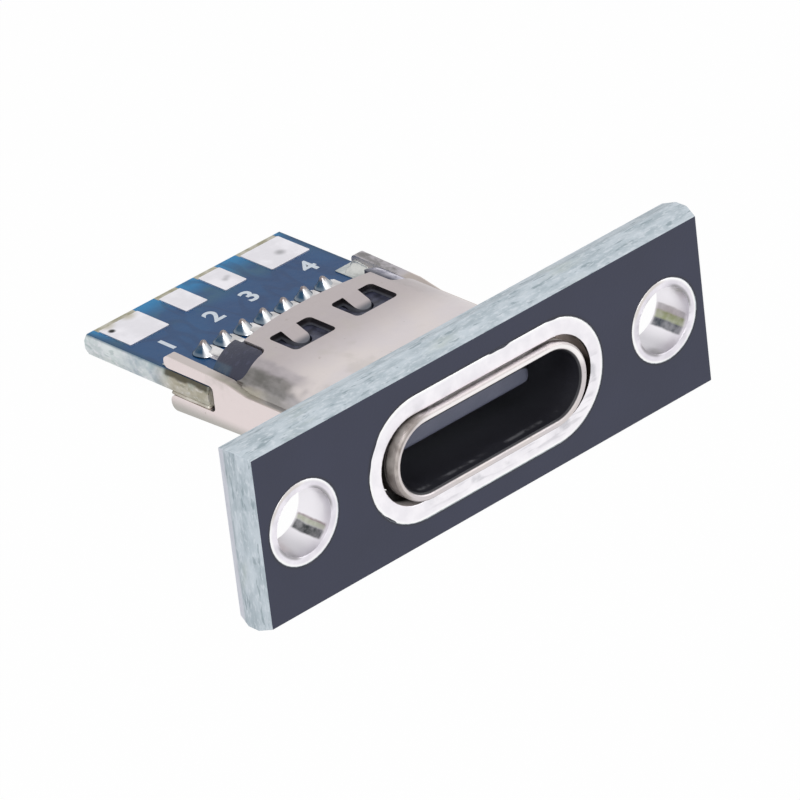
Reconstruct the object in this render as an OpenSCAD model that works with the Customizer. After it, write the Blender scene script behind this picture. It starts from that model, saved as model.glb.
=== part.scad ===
// Panel-mount usb-c socket: a screw plate, a metal shell, its insulator and contacts, and a solder board.
// The origin is the middle of the mouth on the front face of the screw plate.
// +X runs along the plate, +Y runs back into the device, +Z is up.

/* [Screw plate] */
// Width of the plate's faces
plate_w = 20.6; // [20:0.1:24]
// Height of the plate's faces
plate_h = 6.4; // [5.6:0.05:8]
// Thickness of the plate
plate_t = 1.6; // [1.2:0.1:2]
// How far the snapped web of the scored edges stands out past the faces
plate_web = 0.16; // [0.05:0.01:0.25]
// Thickness of that web
plate_web_t = 0.5; // [0.3:0.05:0.8]

/* [Screw holes] */
// Distance from the middle of a screw hole to the end of the plate's faces
hole_edge = 1.9; // [1.7:0.05:2.1]
// Clear diameter of a plated screw hole
hole_d = 2.4; // [2:0.1:2.6]
// Width of the plated land round a screw hole
hole_land = 0.33; // [0.2:0.01:0.5]

/* [Plated slot] */
// Clearance between shell and slot at each end of the slot
slot_end_gap = 0.39; // [0.15:0.01:0.5]
// Clearance between shell and slot above and below, filled with solder
slot_side_gap = 0.08; // [0.04:0.01:0.15]
// Width of the plated land past the ends of the slot
slot_land_end = 0.56; // [0.3:0.02:0.7]
// Width of the plated land above and below the slot
slot_land_width = 0.68; // [0.4:0.02:0.9]
// Thickness of the plating in the slot and the screw holes
plating_t = 0.06; // [0.03:0.01:0.1]
// Thickness of every flat land of tinned copper
land_t = 0.05; // [0.03:0.01:0.08]

/* [Shell] */
// Width of the mouth
mouth_w = 8.34; // [8.2:0.02:8.5]
// Height of the mouth
mouth_h = 2.56; // [2.4:0.02:2.7]
// Thickness of the shell's sheet
shell_t = 0.3; // [0.2:0.02:0.36]
// How far the rim stands out of the plate
rim_proud = 0.25; // [0:0.01:0.4]
// Lead-in chamfer inside the rim
lead_in = 0.1; // [0.02:0.01:0.12]
// Chamfer round the outside of the rim
rim_chamfer = 0.06; // [0.02:0.01:0.08]
// Depth of the shell's rear edge behind the plate's front face
shell_depth = 9; // [8.8:0.1:11]
// Half width of the flat tongue of sheet between the two rear notches
notch_x = 2.95; // [2.8:0.05:3.2]
// Length of the rear notches
notch_len = 1.55; // [1.2:0.05:1.7]
// Radius in the inner corner of a rear notch
notch_r = 0.3; // [0.1:0.05:0.35]
// Radius in the outer corner of a rear notch, beside the arm
notch_arm_r = 0.3; // [0.1:0.05:0.35]
// How far the rear edge is bowed between the notches
rear_bow_len = 0.36; // [0.1:0.02:0.5]

/* [Shell windows] */
// Distance between the middles of the two windows
window_spacing = 2.88; // [2.6:0.02:3]
// Width of a window
window_w = 1.92; // [1.8:0.02:2.2]
// Length of a window
window_len = 1.44; // [1.3:0.02:1.6]
// Sheet left between a window and the shell's rear edge
window_rear = 0.94; // [0.7:0.02:1.1]
// Radius of a window's corners
window_r = 0.2; // [0.05:0.01:0.3]
// Width of the lock tab in a window
tab_w = 0.7; // [0.5:0.02:0.8]
// Gap between the tip of a lock tab and the front of its window
tab_tip_gap = 0.56; // [0.4:0.02:0.7]
// How far the tip of a lock tab is pressed down into the insulator
tab_drop = 0.3; // [0.2:0.02:0.34]

/* [Fork arms] */
// How far the outer face of an arm stands out past the shell's side
arm_proud = 0.13; // [0.08:0.01:0.2]
// Thickness of an arm
arm_t = 0.4; // [0.3:0.02:0.44]
// Gap between the back of the plate and an arm
arm_front_gap = 0.4; // [0.2:0.05:1]
// Height of the arm's top edge beside the shell
arm_top_front = 0.66; // [0.55:0.02:0.75]
// Height of its top edge where the upper prong begins
arm_top_middle = 0.86; // [0.8:0.02:0.9]
// Height of the top edge at the upper prong's tip
arm_top_rear = 0.96; // [0.9:0.02:1.04]
// Depth of the arm's lower edge at its front end
arm_low_front = 0.72; // [0.6:0.02:0.9]
// Depth of the lower edge at the lower prong's tip
arm_low_rear = 1.1; // [1:0.02:1.2]
// How far before the end of the shell's side the top edge starts to rise
arm_rise_gap = 0.5; // [0.3:0.05:0.6]
// Length over which the top edge rises
arm_rise_len = 1; // [0.8:0.05:1.2]
// Radius where the top edge starts and stops rising
arm_bend_r = 0.25; // [0.1:0.05:0.4]
// Radius of an arm's front corners and of the fork's inner corners
fork_r = 0.18; // [0.05:0.01:0.24]
// Length of the upper prong past the closed end of the fork
prong_len = 2.45; // [2:0.05:2.6]
// How much shorter the lower prong is
prong_step = 0.15; // [0:0.05:0.3]
// Gap between the board's faces and each prong
prong_gap = 0.1; // [0.08:0.01:0.14]
// Gap between the board's front edge and the closed end of the fork
fork_end_gap = 0.28; // [0.1:0.02:0.4]

/* [Insulator] */
// Width of the tongue
tongue_w = 6.6; // [6.4:0.02:6.7]
// Thickness of the tongue
tongue_t = 0.7; // [0.66:0.02:0.76]
// Distance of the tongue's front face behind the plate's front face
tongue_recess = 1.2; // [0.8:0.05:1.5]
// Width of the thick root of the tongue
root_w = 7.3; // [7:0.05:7.5]
// Thickness of the thick root of the tongue
root_t = 1.5; // [1.3:0.05:1.6]
// Length of the thick root of the tongue
root_len = 1; // [0.6:0.1:1.4]
// Length of the insulator's block behind the root
block_len = 2.75; // [2.6:0.05:2.8]
// Clearance between the block and the shell
block_gap = 0.02; // [0.01:0.01:0.04]
// Depth of the block's shoulders in the rear notches below the shell's surface
shoulder_drop = 0.08; // [0.04:0.01:0.12]
// Clearance between a shoulder and the edges of its notch
shoulder_gap = 0.05; // [0.03:0.01:0.08]
// How far the block stands out behind the shell
block_proud = 0.05; // [0:0.01:0.1]
// Clearance round a lock tab in its pocket
pocket_gap = 0.08; // [0.04:0.01:0.1]
// Depth of the slot in the block that takes the board's edge
board_seat = 0.15; // [0.1:0.01:0.2]
// Length of a latch notch in the tongue's side
latch_len = 0.9; // [0.6:0.05:1.1]
// Depth of a latch notch
latch_depth = 0.35; // [0.25:0.01:0.4]
// Distance of a latch notch from the tongue's front
latch_front = 1.5; // [1.3:0.05:1.9]
// Radius of the tongue's edges
tongue_r = 0.3; // [0.15:0.01:0.32]
// Radius of the tongue's front corners, seen from above
tongue_corner_r = 0.4; // [0.2:0.05:0.5]

/* [Latch plate] */
// Thickness of the metal plate inside the tongue
latch_plate_t = 0.15; // [0.1:0.01:0.18]
// Plastic over the side edges of the latch plate
latch_plate_cover = 0.12; // [0.08:0.01:0.2]
// Plastic over the front edge of the latch plate
latch_plate_front = 0.6; // [0.3:0.05:0.9]
// How far the latch plate reaches into the block
latch_plate_seat = 1.2; // [0.8:0.05:1.5]

/* [Contacts] */
// Distance between neighbouring contact places in the mouth
place_pitch = 0.5; // [0.46:0.01:0.5]
// Width of a contact on the tongue
contact_w = 0.25; // [0.2:0.01:0.28]
// Thickness of a contact
contact_t = 0.12; // [0.08:0.01:0.14]
// Distance from the front of the block to the bend of a contact
bend_gap = 0.4; // [0.2:0.05:0.6]
// Length over which a contact bends from its place to its tail
bend_len = 0.8; // [0.6:0.05:1]
// Distance between neighbouring solder tails
tail_spacing = 0.95; // [0.85:0.01:1]
// Width of a solder tail
tail_w = 0.42; // [0.3:0.02:0.5]
// Length of a solder tail behind the block
tail_len = 1.75; // [1.5:0.05:1.9]
// Plastic before the front end of a contact
contact_front = 0.35; // [0.2:0.05:0.5]

/* [Solder board] */
// How far the side of the board's faces stands out past a fork arm
board_side = -0.06; // [-0.1:0.01:0.1]
// Length of the board
board_len = 6.3; // [6:0.1:8]
// Thickness of the board
board_t = 0.8; // [0.7:0.05:0.9]
// How far the snapped web of the scored edges stands out past the faces
board_web = 0.08; // [0.03:0.01:0.12]
// Thickness of that web
board_web_t = 0.3; // [0.2:0.02:0.4]
// Width of the land under a solder tail
tail_land_w = 0.6; // [0.5:0.02:0.66]
// How far the land under a solder tail reaches past the tail's end
tail_land_past = 0.22; // [0.1:0.02:0.26]
// Gap between the block and the lands
tail_land_gap = 0.12; // [0.05:0.01:0.2]
// Distance from the closed end of the fork to a shield land
shield_land_gap = 1.3; // [1:0.05:1.4]
// Length of a shield land under a prong
shield_land_len = 1.45; // [1.3:0.05:1.6]
// How far a shield land reaches in past the arm
shield_land_in = 0.55; // [0.4:0.01:0.6]
// Margin between a shield land and the board's side
shield_land_edge = 0.1; // [0.05:0.01:0.2]
// Width of a large wire pad
wire_pad_w = 1.8; // [1.5:0.02:2]
// Length of a large wire pad
wire_pad_len = 1.68; // [1.5:0.02:2.2]
// Width of a small wire pad
small_pad_w = 1; // [0.8:0.02:1.1]
// Length of a small wire pad
small_pad_len = 1.46; // [1.2:0.02:1.9]
// Distance between the middles of the two small wire pads
small_pad_spacing = 1.84; // [1.7:0.02:2]
// Margin between the wire pads and the board's rear edge
pad_rear_edge = 0.28; // [0.1:0.02:0.5]
// Margin between the large wire pads and the board's sides
pad_side_edge = 0.33; // [0.1:0.01:0.4]
// Radius of the corners of the wire pads
pad_r = 0.06; // [0.02:0.01:0.12]

/* [Solder] */
// Width of the foot of the solder peak over the end of a tail
peak_foot_w = 0.74; // [0.64:0.02:0.84]
// Width of the top of a solder peak
peak_tip_w = 0.16; // [0.1:0.02:0.2]
// Height of a solder peak above the board's lands
peak_h = 0.42; // [0.3:0.01:0.5]
// Bare land before the solder fillet along a prong
prong_fillet_gap = 0.2; // [0.1:0.05:0.4]
// Height and width of the solder fillet along a prong
prong_fillet = 0.34; // [0.2:0.01:0.36]
// Length of the solder fillet along a prong
prong_fillet_len = 1.05; // [0.8:0.05:1.1]
// Height and width of the solder fillet behind the plate
plate_fillet = 0.34; // [0.2:0.02:0.38]
// Length of that fillet along the shell
plate_fillet_len = 4.8; // [3:0.1:5.4]
// How deep the solder ends behind the plate's front face
solder_recess = 0.12; // [0.05:0.01:0.3]

/* [Hidden] */
$fn = 48;
// Overlap of solids that are joined, and overrun of solids that cut
lap = 0.05;
over = 1;
// Places of the seven contacts, in pitches from the middle of the mouth
places = [-5.5, -2.5, -1.5, -0.5, 0.5, 2.5, 5.5];
contact_count = len(places);
middle = (contact_count + 1) / 2;
// Straight pieces in a rounded corner of a polygon
arc_steps = 6;

hole_spacing = plate_w - 2 * hole_edge;
shell_w = mouth_w + 2 * shell_t;
shell_h = mouth_h + 2 * shell_t;
slot_w = shell_w + 2 * slot_end_gap;
slot_h = shell_h + 2 * slot_side_gap;
side_end = shell_depth - notch_len;
window_y = shell_depth - window_rear - window_len / 2;
window_back = window_y + window_len / 2;
tab_tip = window_y - window_len / 2 + tab_tip_gap;
bow_r = (notch_x * notch_x + rear_bow_len * rear_bow_len) / (2 * rear_bow_len);
bow_facets = 180;

block_rear = shell_depth + block_proud;
block_front = block_rear - block_len;
root_front = block_front - root_len;
board_front = block_rear - board_seat;
board_rear = board_front + board_len;
board_top = board_t / 2;
land_top = board_top + land_t;

arm_out = shell_w / 2 + arm_proud;
arm_in = arm_out - arm_t;
board_w = 2 * (arm_out + board_side);
arm_front = plate_t + arm_front_gap;
arm_rise_front = side_end - arm_rise_gap;
arm_rise_rear = arm_rise_front + arm_rise_len;
fork_half = board_top + prong_gap;
fork_end = board_front - fork_end_gap;
prong_tip = fork_end + prong_len;
low_tip = prong_tip - prong_step;
// Radius of a prong's tip as a share of the prong's height
prong_round = 0.44;
prong_r = prong_round * (arm_top_rear - fork_half);
low_prong_r = prong_round * (arm_low_rear - fork_half);

bend_front = block_front + bend_gap;
bend_rear = bend_front + bend_len;
contact_low = tongue_t / 2 - contact_t;
tail_end = block_rear + tail_len;
// Tapers of a solder peak
peak_steps = 4;
land_front = block_rear + tail_land_gap;
land_rear = tail_end + tail_land_past;
shield_land_front = fork_end + shield_land_gap;
fillet_front = shield_land_front + prong_fillet_gap;
wire_pad_x = board_w / 2 - pad_side_edge - wire_pad_w / 2;
wire_pad_sizes = [
    [-wire_pad_x, wire_pad_w, wire_pad_len],
    [-small_pad_spacing / 2, small_pad_w, small_pad_len],
    [small_pad_spacing / 2, small_pad_w, small_pad_len],
    [wire_pad_x, wire_pad_w, wire_pad_len],
];
wire_pad_count = len(wire_pad_sizes);

// Extrusion of an (x, z) outline along Y
module along_y(from, to) {
    translate([0, to, 0])
        rotate([90, 0, 0])
            linear_extrude(height = to - from)
                children();
}

// Extrusion of a (y, z) outline along X
module along_x(from, to) {
    translate([from, 0, 0])
        rotate([90, 0, 90])
            linear_extrude(height = to - from)
                children();
}

// Extrusion of an (x, y) outline along Z
module along_z(from, to) {
    translate([0, 0, from])
        linear_extrude(height = to - from)
            children();
}

// The children and their mirror image across the plane whose normal is given
module both(normal) {
    children();
    mirror(normal)
        children();
}

// Oblong with round ends
module oblong(w, h) {
    square([w - h, h], center = true);
    for (side = [-1, 1])
        translate([side * (w - h) / 2, 0])
            circle(d = h);
}

// Rectangle with round corners
module round_rect(w, h, r) {
    square([w - 2 * r, h], center = true);
    square([w, h - 2 * r], center = true);
    for (x = [-1, 1], y = [-1, 1])
        translate([x * (w / 2 - r), y * (h / 2 - r)])
            circle(r = r);
}

// Square of side r less a quarter circle: the section of a concave fillet in the corner at the origin
module concave(r) {
    difference() {
        square(r);
        translate([r, r])
            circle(r = r);
    }
}

// Oblong cone frustum, from the first size to the second one: the solid of an even chamfer along Y
module oblong_taper(w1, h1, w2, h2, from, to) {
    reach = (w1 - h1) / 2;
    along_x(-reach, reach)
        polygon([[from, -h1 / 2], [from, h1 / 2], [to, h2 / 2], [to, -h2 / 2]]);
    for (side = [-1, 1])
        translate([side * reach, from, 0])
            rotate([-90, 0, 0])
                cylinder(h = to - from, d1 = h1, d2 = h2);
}

function unit(v) = v / norm(v);

// Arc that rounds the corner b between a and c
function corner_arc(a, b, c, r) =
    let (
        u = unit(a - b),
        v = unit(c - b),
        half = acos(u * v) / 2,
        centre = b + unit(u + v) * r / sin(half),
        start = b + u * r / tan(half) - centre,
        from = atan2(start.y, start.x),
        turn = sign(cross(v, u)) * (180 - 2 * half) / arc_steps
    )
    [for (k = [0:arc_steps]) centre + r * [cos(from + turn * k), sin(from + turn * k)]];

// Outline through [x, y, radius] corners
function rounded(corners) =
    let (n = len(corners), xy = [for (c = corners) [c[0], c[1]]])
    [for (i = [0:n - 1]) each corner_arc(xy[(i + n - 1) % n], xy[i], xy[(i + 1) % n], corners[i][2])];

// Section of a scored and snapped edge: [depth through the board, distance out from the face's edge]
function scored_edge(t, web, web_t) = [[0, 0], [(t - web_t) / 2, web], [(t + web_t) / 2, web], [t, 0]];

// Section of a board between two scored edges: depth from 0 to t, width w at the faces
function scored_section(t, w, web, web_t) =
    let (edge = scored_edge(t, web, web_t))
    concat(
        [for (p = edge) [p[0], w / 2 + p[1]]],
        [for (i = [len(edge) - 1:-1:0]) [edge[i][0], -w / 2 - edge[i][1]]]
    );

module plate_blank() {
    intersection() {
        along_x(-plate_w, plate_w)
            polygon(scored_section(plate_t, plate_h, plate_web, plate_web_t));
        along_z(-plate_h, plate_h)
            polygon([for (p = scored_section(plate_t, plate_w, plate_web, plate_web_t)) [p[1], p[0]]]);
    }
}

// Flanged plating of a hole: a wall through the plate and a land on each face, less the clear hole
module plated(from, to) {
    difference() {
        union() {
            along_y(from, to)
                children(1);
            along_y(from, from + land_t)
                children(2);
            along_y(to - land_t, to)
                children(2);
        }
        along_y(from - over, to + over)
            children(0);
    }
}

module hole_plating_outlines(kind) {
    circle(d = hole_d + 2 * [0, plating_t, hole_land][kind]);
}

module slot_plating_outlines(kind) {
    oblong(
        slot_w + 2 * [0, plating_t, slot_land_end][kind],
        slot_h + 2 * [0, plating_t, slot_land_width][kind]
    );
}

module hole_plating_solid() {
    plated(0, plate_t) {
        hole_plating_outlines(0);
        hole_plating_outlines(1);
        hole_plating_outlines(2);
    }
}

module slot_plating_solid() {
    plated(0, plate_t) {
        slot_plating_outlines(0);
        slot_plating_outlines(1);
        slot_plating_outlines(2);
    }
}

module front_plate() {
    color("#48495a")
        difference() {
            plate_blank();
            along_y(-over, plate_t + over)
                slot_plating_outlines(1);
            for (face = [-over, plate_t - land_t])
                along_y(face, face + over + land_t)
                    slot_plating_outlines(2);
            for (side = [-1, 1])
                translate([side * hole_spacing / 2, 0, 0]) {
                    along_y(-over, plate_t + over)
                        hole_plating_outlines(1);
                    for (face = [-over, plate_t - land_t])
                        along_y(face, face + over + land_t)
                            hole_plating_outlines(2);
                }
        }
}

module screw_barrel(side) {
    color("#e6e6ea")
        translate([side * hole_spacing / 2, 0, 0])
            hole_plating_solid();
}

module slot_plating() {
    color("#e6e6ea")
        slot_plating_solid();
}

// Outline of the shell seen from above: the tube, and the flat sheet with a bowed edge between the notches
module shell_outline() {
    translate([-shell_w, -rim_proud])
        square([2 * shell_w, side_end + rim_proud]);
    intersection() {
        translate([-notch_x, 0])
            square([2 * notch_x, shell_depth + over]);
        translate([0, shell_depth - bow_r])
            circle(r = bow_r, $fn = bow_facets);
    }
    both([1, 0]) {
        translate([notch_x, side_end])
            concave(notch_r);
        translate([arm_in, side_end])
            mirror([1, 0])
                concave(notch_arm_r);
    }
}

// One fork arm seen from the side
module arm_outline() {
    polygon(rounded([
        [arm_front, arm_top_front, fork_r],
        [arm_rise_front, arm_top_front, arm_bend_r],
        [arm_rise_rear, arm_top_middle, arm_bend_r],
        [prong_tip, arm_top_rear, prong_r],
        [prong_tip, fork_half, prong_r],
        [fork_end, fork_half, fork_r],
        [fork_end, -fork_half, fork_r],
        [low_tip, -fork_half, low_prong_r],
        [low_tip, -arm_low_rear, low_prong_r],
        [arm_front, -arm_low_front, fork_r],
    ]));
}

module window_outline() {
    translate([0, window_y])
        round_rect(window_w, window_len, window_r);
}

// Lock tab seen from above, wider by the given gap
module tab_outline(gap) {
    translate([0, tab_tip + tab_w / 2]) {
        circle(d = tab_w + 2 * gap);
        translate([-tab_w / 2 - gap, 0])
            square([tab_w + 2 * gap, window_back - tab_tip - tab_w / 2 + lap]);
    }
}

// Lock tab: rooted at the back of its window and pressed down at the tip
module lock_tab() {
    top = shell_h / 2;
    intersection() {
        along_x(-tab_w, tab_w)
            polygon([
                [window_back + lap, top],
                [window_back + lap, top - shell_t],
                [window_back - lap, top - shell_t],
                [tab_tip - lap, top - shell_t - tab_drop],
                [tab_tip - lap, top - tab_drop],
                [window_back - lap, top],
            ]);
        along_z(0, shell_h)
            tab_outline(0);
    }
}

module at_windows() {
    for (side = [-1, 1])
        translate([side * window_spacing / 2, 0, 0])
            children();
}

module shell() {
    color("#d6cccf") {
        difference() {
            union() {
                intersection() {
                    along_y(-rim_proud, shell_depth)
                        oblong(shell_w, shell_h);
                    along_z(-shell_h, shell_h)
                        shell_outline();
                }
                both([1, 0, 0])
                    along_x(arm_in, arm_out)
                        arm_outline();
            }
            along_y(-rim_proud - over, shell_depth + over)
                oblong(mouth_w, mouth_h);
            oblong_taper(
                mouth_w + 2 * lead_in, mouth_h + 2 * lead_in, mouth_w, mouth_h,
                -rim_proud, -rim_proud + lead_in
            );
            difference() {
                along_y(-rim_proud - over, -rim_proud + rim_chamfer)
                    oblong(shell_w + over, shell_h + over);
                oblong_taper(
                    shell_w - 2 * rim_chamfer, shell_h - 2 * rim_chamfer, shell_w, shell_h,
                    -rim_proud, -rim_proud + rim_chamfer
                );
            }
            at_windows()
                along_z(0, shell_h)
                    window_outline();
        }
        at_windows()
            lock_tab();
    }
}

module latch_notches() {
    both([1, 0, 0])
        translate([tongue_w / 2 - latch_depth, tongue_recess + latch_front, -tongue_t])
            cube([latch_depth + over, latch_len, 2 * tongue_t]);
}

module tongue() {
    difference() {
        intersection() {
            along_y(tongue_recess, block_front + lap)
                round_rect(tongue_w, tongue_t, tongue_r);
            along_x(-tongue_w, tongue_w)
                polygon(rounded([
                    [tongue_recess, tongue_t / 2, tongue_r / 2],
                    [tongue_recess, -tongue_t / 2, tongue_r / 2],
                    [block_rear, -tongue_t / 2, tongue_r / 2],
                    [block_rear, tongue_t / 2, tongue_r / 2],
                ]));
            along_z(-tongue_t, tongue_t)
                polygon(rounded([
                    [-tongue_w / 2, tongue_recess, tongue_corner_r],
                    [tongue_w / 2, tongue_recess, tongue_corner_r],
                    [tongue_w / 2, block_rear, tongue_corner_r],
                    [-tongue_w / 2, block_rear, tongue_corner_r],
                ]));
        }
        latch_notches();
    }
}

// Shoulders of the block, which fill the rear notches of the shell
module shoulders() {
    front = side_end + shoulder_gap;
    inner = notch_x + shoulder_gap;
    outer = arm_in - shoulder_gap;
    intersection() {
        along_y(front, block_rear)
            oblong(shell_w - 2 * shoulder_drop, shell_h - 2 * shoulder_drop);
        along_z(-shell_h, shell_h)
            both([1, 0])
                polygon(rounded([
                    [inner, front, notch_r],
                    [inner, block_rear, shoulder_gap],
                    [outer, block_rear, shoulder_gap],
                    [outer, front, notch_arm_r],
                ]));
    }
}

module insulator() {
    color("#1b1b20")
        difference() {
            union() {
                tongue();
                along_y(root_front, block_front + lap)
                    round_rect(root_w, root_t, tongue_r);
                along_y(block_front, block_rear)
                    oblong(mouth_w - 2 * block_gap, mouth_h - 2 * block_gap);
                shoulders();
            }
            at_windows()
                along_z(shell_h / 2 - shell_t - tab_drop - pocket_gap, shell_h)
                    tab_outline(pocket_gap);
            translate([-board_w / 2, board_front, -land_top])
                cube([board_w, board_seat + over, 2 * land_top]);
            latch_plate_solid();
            both([0, 0, 1])
                for (i = [1:contact_count])
                    contact_solid(i);
        }
}

module latch_plate_solid() {
    width = tongue_w - 2 * latch_plate_cover;
    from = tongue_recess + latch_plate_front;
    difference() {
        translate([-width / 2, from, -latch_plate_t / 2])
            cube([width, block_front + latch_plate_seat - from, latch_plate_t]);
        latch_notches();
    }
}

module latch_plate() {
    color("#b9babd")
        latch_plate_solid();
}

// Side view of an upper contact: flush in the tongue, then raised to lie on the board's land
module contact_side() {
    polygon([
        [tongue_recess + contact_front, contact_low],
        [bend_front, contact_low],
        [bend_rear, land_top],
        [tail_end, land_top],
        [tail_end, land_top + contact_t],
        [bend_rear, land_top + contact_t],
        [bend_front, contact_low + contact_t],
        [tongue_recess + contact_front, contact_low + contact_t],
    ]);
}

// Top view of a contact: from its place in the mouth to its tail
module contact_top_view(i) {
    x1 = places[i - 1] * place_pitch;
    x2 = (i - middle) * tail_spacing;
    polygon([
        [x1 - contact_w / 2, 0],
        [x1 - contact_w / 2, bend_front],
        [x2 - tail_w / 2, bend_rear],
        [x2 - tail_w / 2, tail_end],
        [x2 + tail_w / 2, tail_end],
        [x2 + tail_w / 2, bend_rear],
        [x1 + contact_w / 2, bend_front],
        [x1 + contact_w / 2, 0],
    ]);
}

module contact_solid(i) {
    intersection() {
        along_x(-board_w, board_w)
            contact_side();
        along_z(0, shell_h)
            contact_top_view(i);
    }
}

module contact_top(i) {
    color("#c9b26a")
        contact_solid(i);
}

module contact_bottom(i) {
    color("#c9b26a")
        mirror([0, 0, 1])
            contact_solid(i);
}

module solder_board() {
    edge = scored_edge(board_t, board_web, board_web_t);
    section = scored_section(board_t, board_w, board_web, board_web_t);
    color("#3e6291")
        intersection() {
            along_y(board_front, board_rear + over)
                polygon([for (p = section) [p[1], p[0] - board_top]]);
            along_x(-board_w, board_w)
                polygon(concat(
                    [[board_front, board_top], [board_front, -board_top]],
                    [for (p = edge) [board_rear + p[1], p[0] - board_top]]
                ));
        }
}

module wire_pad(i) {
    pad = wire_pad_sizes[i - 1];
    color("#dedce2")
        translate([pad[0], board_rear - pad_rear_edge - pad[2] / 2, 0])
            along_z(board_top, land_top)
                round_rect(pad[1], pad[2], pad_r);
}

module tail_lands() {
    color("#dedce2")
        both([0, 0, 1])
            for (i = [1:contact_count])
                translate([(i - middle) * tail_spacing - tail_land_w / 2, land_front, board_top])
                    cube([tail_land_w, land_rear - land_front, land_t]);
}

module shield_lands() {
    inner = arm_in - shield_land_in;
    color("#dedce2")
        both([0, 0, 1])
            both([1, 0, 0])
                translate([inner, shield_land_front, board_top])
                    cube([board_w / 2 - shield_land_edge - inner, shield_land_len, land_t]);
}

// Width of a solder peak at the share s of its height
function peak_width(s) = peak_tip_w + (peak_foot_w - peak_tip_w) * (1 - s) * (1 - s);

// Hollow side of a solder peak, given by 1 or by -1, from the foot to the top
function peak_side(side) =
    [for (k = [0:peak_steps]) [side * peak_width(k / peak_steps) / 2, k * peak_h / peak_steps]];

module peak_outline() {
    left = peak_side(-1);
    polygon(concat(peak_side(1), [for (k = [peak_steps:-1:0]) left[k]]));
}

// Peak of solder over the end of a tail, with the same outline from the side and from behind
module solder_peak() {
    intersection() {
        along_x(-peak_foot_w, peak_foot_w)
            peak_outline();
        along_y(-peak_foot_w, peak_foot_w)
            peak_outline();
    }
}

module solder_peaks() {
    difference() {
        for (i = [1:contact_count])
            translate([(i - middle) * tail_spacing, tail_end, land_top])
                solder_peak();
        for (i = [1:contact_count])
            contact_solid(i);
    }
}

module solder_top() {
    color("#d0d0d6")
        solder_peaks();
}

module solder_bottom() {
    color("#d0d0d6")
        mirror([0, 0, 1])
            solder_peaks();
}

// Solder between a prong and its land, with a hollow fillet on the inner side
module prong_solder() {
    color("#d0d0d6")
        both([0, 0, 1])
            both([1, 0, 0])
                along_y(fillet_front, fillet_front + prong_fillet_len) {
                    translate([arm_in, land_top])
                        mirror([1, 0])
                            concave(prong_fillet);
                    translate([arm_in - lap, land_top])
                        square([arm_t / 2 + lap, fork_half - land_top]);
                }
}

// Solder above and below the shell: in the gap to the slot, with a hollow fillet behind the plate
module plate_solder() {
    color("#d0d0d6")
        both([0, 0, 1])
            along_x(-plate_fillet_len / 2, plate_fillet_len / 2) {
                translate([solder_recess, shell_h / 2])
                    square([plate_t - solder_recess + lap, slot_side_gap]);
                translate([plate_t, shell_h / 2])
                    concave(plate_fillet);
            }
}

front_plate();
screw_barrel(-1);  // screw_barrel_left
screw_barrel(1);  // screw_barrel_right
slot_plating();
shell();
insulator();
latch_plate();
for (i = [1:contact_count]) contact_top(i);
for (i = [1:contact_count]) contact_bottom(i);
solder_board();
for (i = [1:wire_pad_count]) wire_pad(i);
tail_lands();
shield_lands();
solder_top();
solder_bottom();
prong_solder();
plate_solder();
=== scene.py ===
import math
from functools import reduce

import bmesh
import bpy
from mathutils import Matrix, Vector


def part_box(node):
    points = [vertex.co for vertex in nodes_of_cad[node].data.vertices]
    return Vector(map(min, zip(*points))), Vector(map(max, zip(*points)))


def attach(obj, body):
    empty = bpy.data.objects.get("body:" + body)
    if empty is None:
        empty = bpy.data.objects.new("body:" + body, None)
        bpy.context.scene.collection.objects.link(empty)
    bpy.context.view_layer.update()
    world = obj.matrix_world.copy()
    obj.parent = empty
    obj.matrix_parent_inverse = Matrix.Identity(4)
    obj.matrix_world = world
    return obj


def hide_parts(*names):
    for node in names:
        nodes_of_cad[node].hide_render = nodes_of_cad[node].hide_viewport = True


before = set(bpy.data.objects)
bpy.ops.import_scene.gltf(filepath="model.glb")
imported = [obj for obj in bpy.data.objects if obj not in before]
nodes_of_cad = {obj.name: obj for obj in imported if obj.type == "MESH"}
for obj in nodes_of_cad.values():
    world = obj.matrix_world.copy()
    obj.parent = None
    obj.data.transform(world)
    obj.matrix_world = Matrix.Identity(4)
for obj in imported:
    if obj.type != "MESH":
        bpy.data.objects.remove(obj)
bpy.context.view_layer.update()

# Lengths below are in millimetres, and MM turns them into metres
MM = 0.001


# Camera: where it looks, from how far, and how it is turned
CAMERA_TARGET = Vector((0.42, 4.885, -1.059)) * MM
CAMERA_RANGE = 271.46 * MM
CAMERA_AZIMUTH = -40.05
CAMERA_ELEVATION = 28.89
CAMERA_ROLL = 6.92
LENS = 360
SENSOR = 36


def make_camera():
    azimuth = math.radians(CAMERA_AZIMUTH)
    elevation = math.radians(CAMERA_ELEVATION)
    roll = math.radians(CAMERA_ROLL)
    forward = Vector((
        -math.sin(azimuth) * math.cos(elevation),
        math.cos(azimuth) * math.cos(elevation),
        -math.sin(elevation),
    ))
    level = forward.cross(Vector((0, 0, 1))).normalized()
    down = forward.cross(level)
    right = level * math.cos(roll) + down * math.sin(roll)
    up = right.cross(forward)
    data = bpy.data.cameras.new("camera")
    data.lens = LENS
    data.sensor_width = SENSOR
    camera = bpy.data.objects.new("camera", data)
    bpy.context.collection.objects.link(camera)
    turn = Matrix((right, up, -forward)).transposed().to_4x4()
    camera.matrix_world = Matrix.Translation(CAMERA_TARGET - forward * CAMERA_RANGE) @ turn
    bpy.context.scene.camera = camera


# Measures of the CAD nodes, from which the pieces and materials below take their sizes
def span(node):
    """Lowest and highest corner of a CAD node in millimetres"""
    low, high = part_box(node)
    return low / MM, high / MM


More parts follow.
